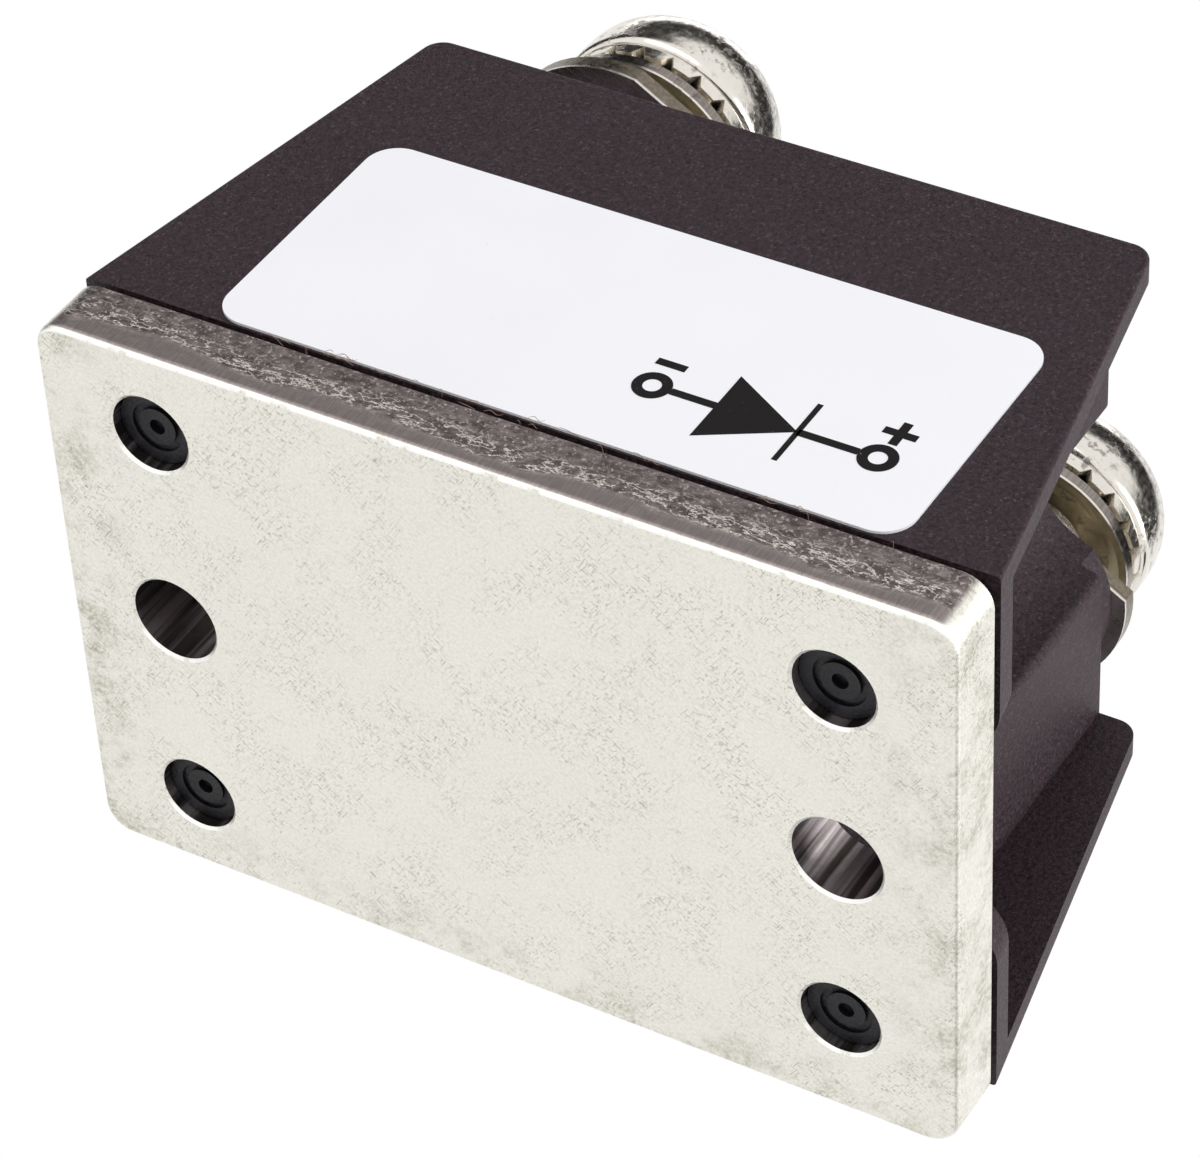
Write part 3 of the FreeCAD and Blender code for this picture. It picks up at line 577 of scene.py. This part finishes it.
def joined(parts):
    """Several small meshes, each of points and faces, as one."""
    points, faces = [], []
    for own_points, own_faces in parts:
        faces += [[index + len(points) for index in face] for face in own_faces]
        points += own_points
    return points, faces


def grid_faces(rows, columns, closed=True, flip=False):
    """Quads between the rows of a grid; its columns close on themselves where closed is set."""
    last = columns if closed else columns - 1
    row, column = np.meshgrid(np.arange(rows - 1), np.arange(last), indexing="ij")
    following = (column + 1) % columns
    quads = np.stack([row * columns + column, row * columns + following,
                      (row + 1) * columns + following, (row + 1) * columns + column], -1).reshape(-1, 4)
    return quads[:, ::-1] if flip else quads


def head_profile(settings, radius, rows=70):
    """Radius and height from the shank outwards under the head, round its lower edge, up its side
    and over the dome, with even steps from the lower edge to the top.

    Lower edge: a quarter circle. Dome: a superellipse from the top of the straight side to the top
    of the head, that is radius share ^ power + height share ^ power = 1, by its angle."""
    side, height, lip = settings.head_side, settings.head_height, settings.head_lip
    share = 2 / settings.head_round
    angle = np.linspace(0.0, math.pi / 2, rows)
    dome = np.stack([radius * np.cos(angle) ** share,
                     side + (height - side) * np.sin(angle) ** share], -1)
    under = np.stack([np.linspace(settings.shank / 2, radius - lip, 8), np.zeros(8)], -1)
    turn = np.linspace(0.0, math.pi / 2, 5)
    edge = np.stack([radius - lip + lip * np.sin(turn), lip - lip * np.cos(turn)], -1)
    rise = np.stack([np.full(12, radius), np.linspace(lip, side, 13)[1:]], -1)
    outer = np.concatenate([rise, dome[1:]])
    run = np.concatenate([[0.0], np.cumsum(np.hypot(*np.diff(outer, axis=0).T))])
    even = np.linspace(0.0, run[-1], rows + 12)
    outer = np.stack([np.interp(even, run, outer[:, 0]), np.interp(even, run, outer[:, 1])], -1)
    return np.concatenate([under, edge, outer[1:-1]])


def thread_rows(settings, turn, tip, seat):
    """Rows of radius and height from the tip to the seat of the head.

    Radius: half the shank less the depth times a flattened triangle wave of height and turn, faded
    over one pitch at both ends."""
    rise = np.arange(tip, seat, settings.pitch / 12)
    wave = np.abs(((rise[:, None] / settings.pitch - turn[None] / (2 * math.pi)) % 1.0) * 2 - 1)
    flank = np.clip(wave * 1.25 - 0.12, 0.0, 1.0)
    from_tip = np.clip((rise - tip) / settings.pitch, 0.0, 1.0)[:, None]
    run_out = np.clip((seat - rise) / settings.pitch, 0.0, 1.0)[:, None]
    cut = flank * run_out + (1 - from_tip) * 0.8 * (1 - flank)
    radius = settings.shank / 2 - settings.thread_depth * cut
    return np.stack([radius, np.broadcast_to(rise[:, None], radius.shape)], -1)


def head_rows(settings, turn, radius, seat):
    """Rows of radius and height over the head: the turned profile and its flat middle, lowered
    inside the cross recess by a smooth step of the distance inside its arms."""
    profile = head_profile(settings, radius)
    middle = np.stack([np.linspace(profile[-1, 0], 0.0, 24)[1:-1], np.full(22, profile[-1, 1])], -1)
    profile = np.concatenate([profile, middle])
    rows = np.broadcast_to(profile[:, None, :], (len(profile), settings.turns, 2)).copy()
    rows[..., 1] += seat
    across = np.abs(rows[..., 0, None] * np.stack([np.cos(turn), np.sin(turn)], -1)[None])
    arm, half = settings.recess_span / 2, settings.recess_width / 2
    inside = np.maximum(np.minimum(arm - across[..., 0], half - across[..., 1]),
                        np.minimum(arm - across[..., 1], half - across[..., 0]))
    ease = 0.00011
    share = np.clip((inside + ease) / (2 * ease), 0.0, 1.0)
    share = share * share * (3 - 2 * share)
    taper = np.clip(inside / half, 0.0, 1.0) * 0.12 + 0.88
    on_top = (rows[..., 1] > seat + settings.head_side) & (rows[..., 0] < arm + 0.0004)
    floor = np.minimum(seat + settings.head_height - settings.recess_depth * taper, rows[..., 1])
    rows[..., 1] = np.where(on_top, rows[..., 1] * (1 - share) + floor * share, rows[..., 1])
    return rows


def turned_piece(name, rows, turn, centre, angle, material, body):
    """A closed turned surface from rows of radius and height; a pole closes each end."""
    columns = len(turn)
    x = centre.x + rows[..., 0] * np.cos(turn + angle)
    y = centre.y + rows[..., 0] * np.sin(turn + angle)
    points = np.stack([x, y, rows[..., 1]], -1).reshape(-1, 3)
    count = len(points)
    bottom = (centre.x, centre.y, rows[0, :, 1].mean())
    top = (centre.x, centre.y, rows[-1, :, 1].mean())
    points = np.concatenate([points, [bottom, top]])
    ring = np.arange(columns)
    after = (ring + 1) % columns
    last = count - columns
    quads = grid_faces(len(rows), columns).tolist()
    below = np.stack([np.full(columns, count), after, ring], -1).tolist()
    above = np.stack([last + ring, last + after, np.full(columns, count + 1)], -1).tolist()
    return new_piece(name, points.tolist(), quads + below + above, material, body)


def toothed_points(settings, centre, low, high, bore):
    """A ring whose section runs under, up the outside, over and down the bore; the outside steps
    inward in each gap, whose half width falls evenly from the lower edge to nothing near the top.
    Gives its points, its faces and each point's share of a gap."""
    columns = settings.teeth * 28
    levels = 15
    turn = np.linspace(0.0, 2 * math.pi, columns, endpoint=False)
    rim = (high.x - low.x) / 2
    outward, inward = np.linspace(bore, rim, 5)[:-1], np.linspace(rim, bore, 5)[1:]
    radius = np.concatenate([outward, np.full(levels, rim), inward])[:, None]
    share = np.concatenate([np.zeros(4), np.linspace(0.0, 1.0, levels), np.ones(4)])
    off_gap = np.abs((turn * settings.teeth / (2 * math.pi)) % 1.0 - 0.5)
    half = settings.tooth_gap / 2 * np.clip(1.0 - share / 0.85, 0.0, 1.0)
    cut = np.clip((half[:, None] - off_gap[None]) / 0.05, 0.0, 1.0)
    root = bore + (rim - bore) * 0.5
    rings = np.where(radius > root, radius * (1 - cut) + root * cut, radius)
    height = low.z + (high.z - low.z) * np.broadcast_to(share[:, None], rings.shape)
    x = centre.x + rings * np.cos(turn)
    y = centre.y + rings * np.sin(turn)
    faces = grid_faces(len(radius) + 1, columns) % (len(radius) * columns)
    gap = np.where(radius > root, cut, 0.0).reshape(-1)
    return np.stack([x, y, height], -1).reshape(-1, 3), faces, gap


def label_frame():
    """A function from metres across and up the label to a point on it, and the label's width."""
    low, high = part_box("rating_label")

    def at(across, up, lift=0.0):
        return (low.x + across, low.y - lift, low.z + up)
    return at, high.x - low.x


def prism(outline, at, lift):
    """Points and faces of a thin raised shape with the given outline on the label."""
    count = len(outline)
    following = outline[1:] + outline[:1]
    points = [at(x, y, lift) for x, y in outline] + [at(x, y, 0.0) for x, y in outline]
    sides = [(i, i + count, (i + 1) % count + count, (i + 1) % count) for i in range(count)]
    area = sum(x * next_y - next_x * y for (x, y), (next_x, next_y) in zip(outline, following))
    front = tuple(range(count))
    if area < 0:
        front = front[::-1]
        sides = [side[::-1] for side in sides]
    back = tuple(index + count for index in front[::-1])
    return points, [front, back, *sides]


def stroke(start, end, width):
    """The outline of a straight line of ink."""
    start, end = np.array(start), np.array(end)
    along = (end - start) / np.linalg.norm(end - start)
    across = np.array([-along[1], along[0]]) * width / 2
    return [tuple(start - across), tuple(end - across), tuple(end + across), tuple(start + across)]


def ring_pieces(centre, outer, inner, steps=40):
    """A printed ring, as short wedges from its inner to its outer circle."""
    angle = np.linspace(0.0, 2 * math.pi, steps + 1)
    rim = np.stack([np.cos(angle), np.sin(angle)], -1)
    small, large = centre + inner * rim, centre + outer * rim
    return [[tuple(small[i]), tuple(large[i]), tuple(large[i + 1]), tuple(small[i + 1])]
            for i in range(steps)]


def diode_symbol(settings, width):
    """The diode symbol's outlines in metres from the label's lower left corner. The places along
    the label are shares of its width: left ring, triangle's base, bar, right ring."""
    line, ring = settings.line, settings.ring
    middle = settings.symbol_height
    left, base, bar, right = (share * width for share in (0.585, 0.676, 0.792, 0.904))
    minus, plus = np.array([left, middle]), np.array([right, middle])
    hole = ring - line * 1.12
    half_arrow, half_bar = settings.arrow / 2, settings.bar / 2
    shapes = ring_pieces(minus, ring, hole) + ring_pieces(plus, ring, hole)
    shapes.append(stroke(minus + (ring, 0), (base, middle), line))
    shapes.append(stroke((bar, middle), plus - (ring, 0), line))
    shapes.append([(base, middle - half_arrow), (bar, middle), (base, middle + half_arrow)])
    shapes.append(stroke((bar, middle - half_bar), (bar, middle + half_bar), line * 0.62))
    sign, arm = minus + (0.00005, 0.00142), 0.00064
    shapes.append(stroke(sign - (arm, 0), sign + (arm, 0), line))
    sign, arm = plus + (0.00010, 0.00162), 0.00070
    shapes.append(stroke(sign - (arm, 0), sign + (arm, 0), line))
    shapes.append(stroke(sign - (0, arm), sign - (0, line / 2), line))
    shapes.append(stroke(sign + (0, line / 2), sign + (0, arm), line))
    return shapes


def fibre(random, low, high):
    """A dust fibre under the label: its centre line is a slow sine curl along X, with a small ring
    carried along it that thins at both ends."""
    steps, around, thickness = 14, 5, 0.000013
    start = np.array([random.uniform(low.x + 0.002, high.x),
                      low.y - random.uniform(0.0001, 0.0003),
                      low.z - random.uniform(0.0002, 0.0006)])
    span = random.uniform(0.0003, 0.0011)
    heading = random.uniform(-0.9, 0.9)
    run = np.linspace(0.0, 1.0, steps)
    curl = random.uniform(0.00001, 0.00010) * np.sin(run * math.pi * random.uniform(0.8, 2.2))
    line = start + np.stack([run * span * math.cos(heading), -curl * 0.6,
                             run * span * math.sin(heading) * 0.5 + curl], -1)
    angle = np.linspace(0.0, 2 * math.pi, around, endpoint=False)
    taper = thickness * np.sin(np.clip(run, 0.04, 0.96) * math.pi) ** 0.3
    ring = np.stack([np.zeros(around), np.cos(angle), np.sin(angle)], -1)
    tube = line[:, None, :] + ring[None] * taper[:, None, None]
    first, last = list(range(around)), [(steps - 1) * around + index for index in range(around)]
    return tube.reshape(-1, 3).tolist(), [*grid_faces(steps, around, flip=True).tolist(), first, last[::-1]]


class ModuleStage(bpy.types.Operator):
    """Floor, soft lamps, dark cards for the metal to reflect, pale world and the camera"""
    bl_idname = "module.stage"
    bl_label = "Stage"

    def execute(self, context):
        settings = context.scene.module_stage
        self.camera(context, settings)
        self.world(context, settings)
        self.floor(context, settings)
        self.lamps(context, settings)
        self.cards(context)
        return {"FINISHED"}

    @staticmethod
    def camera(context, settings):
        data = bpy.data.cameras.new("camera")
        data.sensor_fit = "HORIZONTAL"
        data.sensor_width = 36.0
        data.lens = settings.focal
        data.clip_start = 0.01
        data.clip_end = 20.0
        camera = bpy.data.objects.new("camera", data)
        turn = Matrix((CAMERA_RIGHT, CAMERA_UP, CAMERA_BACK)).transposed().to_4x4()
        camera.matrix_world = Matrix.Translation(CAMERA_PLACE) @ turn
        context.scene.collection.objects.link(camera)
        context.scene.camera = camera

    @staticmethod
    def world(context, settings):
        """White where the camera, metal or glass sees it, and a softer light on the object."""
        world = bpy.data.worlds.new("studio")
        context.scene.world = world
        world.use_nodes = True
        world.node_tree.nodes.clear()
        tree = Tree(world.node_tree)
        path = tree.add("ShaderNodeLightPath").outputs
        seen = tree.largest(path["Is Glossy Ray"], path["Is Transmission Ray"], path["Is Camera Ray"])
        strength = tree.plus(tree.times(seen, 1.0 - settings.ambient), settings.ambient)
        shown = tree.add("ShaderNodeBackground", {"Color": (1.0, 1.0, 1.0, 1.0), "Strength": strength})
        tree.give(shown.outputs[0], tree.add("ShaderNodeOutputWorld").inputs[0])

    @staticmethod
    def floor(context, settings):
        """A disc just under the plate, open under the plate itself, and clear when seen from below.

        Inner edge: a rounded rectangle as a superellipse just inside the plate; outer edge: a circle."""
        inset, power = 0.0012, 14.0
        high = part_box("base_plate")[1]
        angle = np.linspace(0.0, 2 * math.pi, 96, endpoint=False)
        direction = np.stack([np.cos(angle), np.sin(angle)], -1)
        share = np.abs(direction / np.array([high.x - inset, high.y - inset])) ** power
        inner = direction * ((share[:, 0] + share[:, 1]) ** (-1 / power))[:, None]
        rings = np.concatenate([inner, direction * settings.floor_radius])
        points = np.column_stack([rings, np.full(len(rings), -0.00004)])
        material = bpy.data.materials.new("floor")
        material.use_nodes = True
        material.node_tree.nodes.clear()
        tree = Tree(material.node_tree)
        clear = tree.add("ShaderNodeBsdfTransparent")
        matt = tree.add("ShaderNodeBsdfDiffuse", {"Color": (*settings.floor, 1.0)})
        back = tree.add("ShaderNodeNewGeometry").outputs["Backfacing"]
        mixed = tree.add("ShaderNodeMixShader", {0: back, 1: matt.outputs[0], 2: clear.outputs[0]})
        tree.give(mixed.outputs[0], tree.add("ShaderNodeOutputMaterial").inputs[0])
        mesh = bpy.data.meshes.new("floor")
        mesh.from_pydata(points.tolist(), [], grid_faces(2, len(angle), flip=True).tolist())
        mesh.materials.append(material)
        floor = bpy.data.objects.new("floor", mesh)
        floor.visible_diffuse = False
        floor.visible_glossy = False
        floor.visible_shadow = False
        context.scene.collection.objects.link(floor)

    @staticmethod
    def lamps(context, settings):
        """Three soft lamps: over the label side, at the right end and above the terminals. Each has
        its way out from the middle, its width and its share of the key lamp's power."""
        for name, away, size, share in (
                ("key", CAMERA_UP * 0.30 + CAMERA_BACK * 0.26 - CAMERA_RIGHT * 0.10, 0.34, 1.0),
                ("side", CAMERA_RIGHT * 0.34 + CAMERA_BACK * 0.12 - CAMERA_UP * 0.04, 0.26, 2.7),
                ("top", Vector((-0.12, -0.10, 0.42)), 0.40, 1.0)):
            data = bpy.data.lights.new(name, "AREA")
            data.size = size
            data.energy = settings.key * share
            lamp = bpy.data.objects.new(name, data)
            lamp.location = MIDDLE + away
            lamp.rotation_mode = "QUATERNION"
            lamp.rotation_quaternion = away.to_track_quat("Z", "Y")
            context.scene.collection.objects.link(lamp)

    def cards(self, context):
        """Two dark cards, seen only in reflections: their angles round the camera's line and away
        from it, in degrees."""
        dark = bpy.data.materials.new("dark_card")
        dark.use_nodes = True
        shader = dark.node_tree.nodes["Principled BSDF"]
        shader.inputs["Base Color"].default_value = (0.012, 0.010, 0.011, 1.0)
        shader.inputs["Roughness"].default_value = 1.0
        self.card(context, "card_over", (-12.0, 165.0), (97.0, 131.0), dark)
        self.card(context, "card_low", (-62.0, -38.0), (84.0, 104.0), dark)

    @staticmethod
    def card(context, name, spread, depth, material):
        """A card bent round the object: a patch of a sphere between two angles round the camera's
        line and two angles away from it."""
        distance, columns, rows = 0.42, 24, 8
        right, up, back = (np.array(axis) for axis in (CAMERA_RIGHT, CAMERA_UP, CAMERA_BACK))
        around, away = np.meshgrid(np.radians(np.linspace(*spread, columns)),
                                   np.radians(np.linspace(*depth, rows)))
        sideways = np.cos(around)[..., None] * right + np.sin(around)[..., None] * up
        ray = np.sin(away)[..., None] * sideways + np.cos(away)[..., None] * back
        points = (np.array(MIDDLE) + ray * distance).reshape(-1, 3)
        mesh = bpy.data.meshes.new(name)
        mesh.from_pydata(points.tolist(), [], grid_faces(rows, columns, closed=False).tolist())
        mesh.materials.append(material)
        card = bpy.data.objects.new(name, mesh)
        card.visible_camera = False
        card.visible_diffuse = False
        card.visible_shadow = False
        card.visible_transmission = False
        context.scene.collection.objects.link(card)


class ModuleFinishes(bpy.types.Operator):
    """The shared node groups for specks, scratches and clouds"""
    bl_idname = "module.finishes"
    bl_label = "Shared finishes"

    def execute(self, context):
        specks_group()
        scratches_group()
        clouds_group()
        return {"FINISHED"}


class ModuleBasePlate(bpy.types.Operator):
    """The stamped and nickel-plated base plate"""
    bl_idname = "module.base_plate"
    bl_label = "Base plate"

    def execute(self, context):
        dress(plate_material(context.scene.module_plate), "base_plate")
        return {"FINISHED"}


class ModuleHousing(bpy.types.Operator):
    """The black moulding with its four staked pegs, and lint caught in its groove"""
    bl_idname = "module.housing"
    bl_label = "Housing"

    def execute(self, context):
        settings = context.scene.module_moulding
        dress(moulding_material(settings), "housing")
        random = np.random.default_rng(11)
        low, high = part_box("rating_label")
        points, faces = joined([fibre(random, low, high) for _ in range(settings.fibres)])
        new_piece("lint", points, faces, lint_material(settings), "module")
        return {"FINISHED"}


class ModuleLabel(bpy.types.Operator):
    """The white label and its printed diode symbol"""
    bl_idname = "module.label"
    bl_label = "Label"

    def execute(self, context):
        settings = context.scene.module_label
        dress(label_material(settings), "rating_label")
        at, width = label_frame()
        lift = settings.ink_thickness
        points, faces = joined([prism(outline, at, lift) for outline in diode_symbol(settings, width)])
        new_piece("label_print", points, faces, ink_material(settings), "module",
                  smooth=False)
        return {"FINISHED"}


class ModuleTerminals(bpy.types.Operator):
    """Straps, nuts and washers, and the two threaded screws with their cross recesses"""
    bl_idname = "module.terminals"
    bl_label = "Terminals"

    def execute(self, context):
        settings = context.scene.module_terminals
        bright = bright_material("bright_nickel", settings)
        dished = bright_material("dished_nickel", settings, golden=True)
        toothed = bright_material("toothed_nickel", settings, toothed=True)
        strap = strap_material(settings)
        for side in SIDES:
            dress(bright, f"terminal_nut_{side}")
            dress(dished, f"cup_washer_{side}")
            dress(strap, f"terminal_strap_{side}")
            self.screw(settings, side, bright)
            self.lock_washer(settings, side, toothed)
        return {"FINISHED"}

    @staticmethod
    def screw(settings, side, material):
        """The screw, seated just over its lock washer; the right one's recess is turned by half."""
        node = f"terminal_screw_{side}"
        low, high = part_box(node)
        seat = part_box(f"lock_washer_{side}")[1].z + 0.00002
        turn = np.linspace(0.0, 2 * math.pi, settings.turns, endpoint=False)
        rows = np.concatenate([thread_rows(settings, turn, low.z, seat),
                               head_rows(settings, turn, (high.x - low.x) / 2, seat)])
        recess_angle = 0.56 if side == "left" else 0.56 + math.pi
        piece = turned_piece(f"threaded_screw_{side}", rows, turn, (low + high) / 2, recess_angle,
                             material, f"screw_{side}")
        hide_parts(node)

    @staticmethod
    def lock_washer(settings, side, material):
        node = f"lock_washer_{side}"
        low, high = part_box(node)
        bore = settings.shank / 2 + 0.0001
        points, faces, gap = toothed_points(settings, (low + high) / 2, low, high, bore)
        piece = new_piece(f"toothed_washer_{side}", points.tolist(), faces.tolist(), material,
                          f"washers_{side}", smooth=False)
        # The gap attribute is each point's share of painted shade.
        piece.data.attributes.new("gap", "FLOAT", "POINT").data.foreach_set("value", gap)
        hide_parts(node)


class ModuleChipStack(bpy.types.Operator):
    """The substrate, chip, clip, solder and gel inside the housing"""
    bl_idname = "module.chip_stack"
    bl_label = "Chip stack"

    def execute(self, context):
        settings = context.scene.module_inner
        copper = inner_material("copper", settings.copper, 0.32, 0.12, 0.002, Metallic=1.0)
        solder = inner_material("solder", settings.solder, 0.38, 0.10, 0.001, Metallic=1.0)
        ceramic = inner_material("white_ceramic", settings.ceramic, 0.6, 0.03, 0.002)
        silicon = inner_material("silicon", settings.silicon, 0.16, 0.08, 0.003)
        gel = inner_material("clear_gel", settings.gel, 0.2, 0.03, 0.003, Transmission_Weight=0.85,
                             IOR=1.41)
        dress(copper, "substrate_copper", "anode_pad", "cathode_pad", "anode_clip")
        dress(solder, "base_solder", "chip_solder", "clip_top_solder", "clip_foot_solder",
              "strap_solder_left", "strap_solder_right")
        dress(ceramic, "substrate_ceramic")
        dress(silicon, "diode_chip")
        dress(gel, "silicone_gel")
        return {"FINISHED"}


class ModulePanel(bpy.types.Panel):
    """Lists the module's settings and the steps that make it"""
    bl_idname = "VIEW3D_PT_diode_module"
    bl_label = "Diode Module"
    bl_space_type = "VIEW_3D"
    bl_region_type = "UI"
    bl_category = "Diode Module"

    def draw(self, context):
        for operator in STEPS:
            self.layout.operator(operator.bl_idname)
        for name, group in SETTINGS.items():
            box = self.layout.box()
            for title in group.__annotations__:
                box.prop(getattr(context.scene, name), title)


STEPS = (ModuleStage, ModuleFinishes, ModuleBasePlate, ModuleHousing, ModuleLabel, ModuleTerminals,
         ModuleChipStack)
CLASSES = (*SETTINGS.values(), *STEPS, ModulePanel)


def register():
    for item in CLASSES:
        bpy.utils.register_class(item)
    for name, group in SETTINGS.items():
        setattr(bpy.types.Scene, name, PointerProperty(type=group))


def unregister():
    for name in SETTINGS:
        delattr(bpy.types.Scene, name)
    for item in reversed(CLASSES):
        bpy.utils.unregister_class(item)


def main():
    register()
    bpy.context.scene.view_settings.view_transform = "Standard"
    bpy.ops.module.stage()
    bpy.ops.module.finishes()
    bpy.ops.module.base_plate()
    bpy.ops.module.housing()
    bpy.ops.module.label()
    bpy.ops.module.terminals()
    bpy.ops.module.chip_stack()


if __name__ == "__main__":
    main()
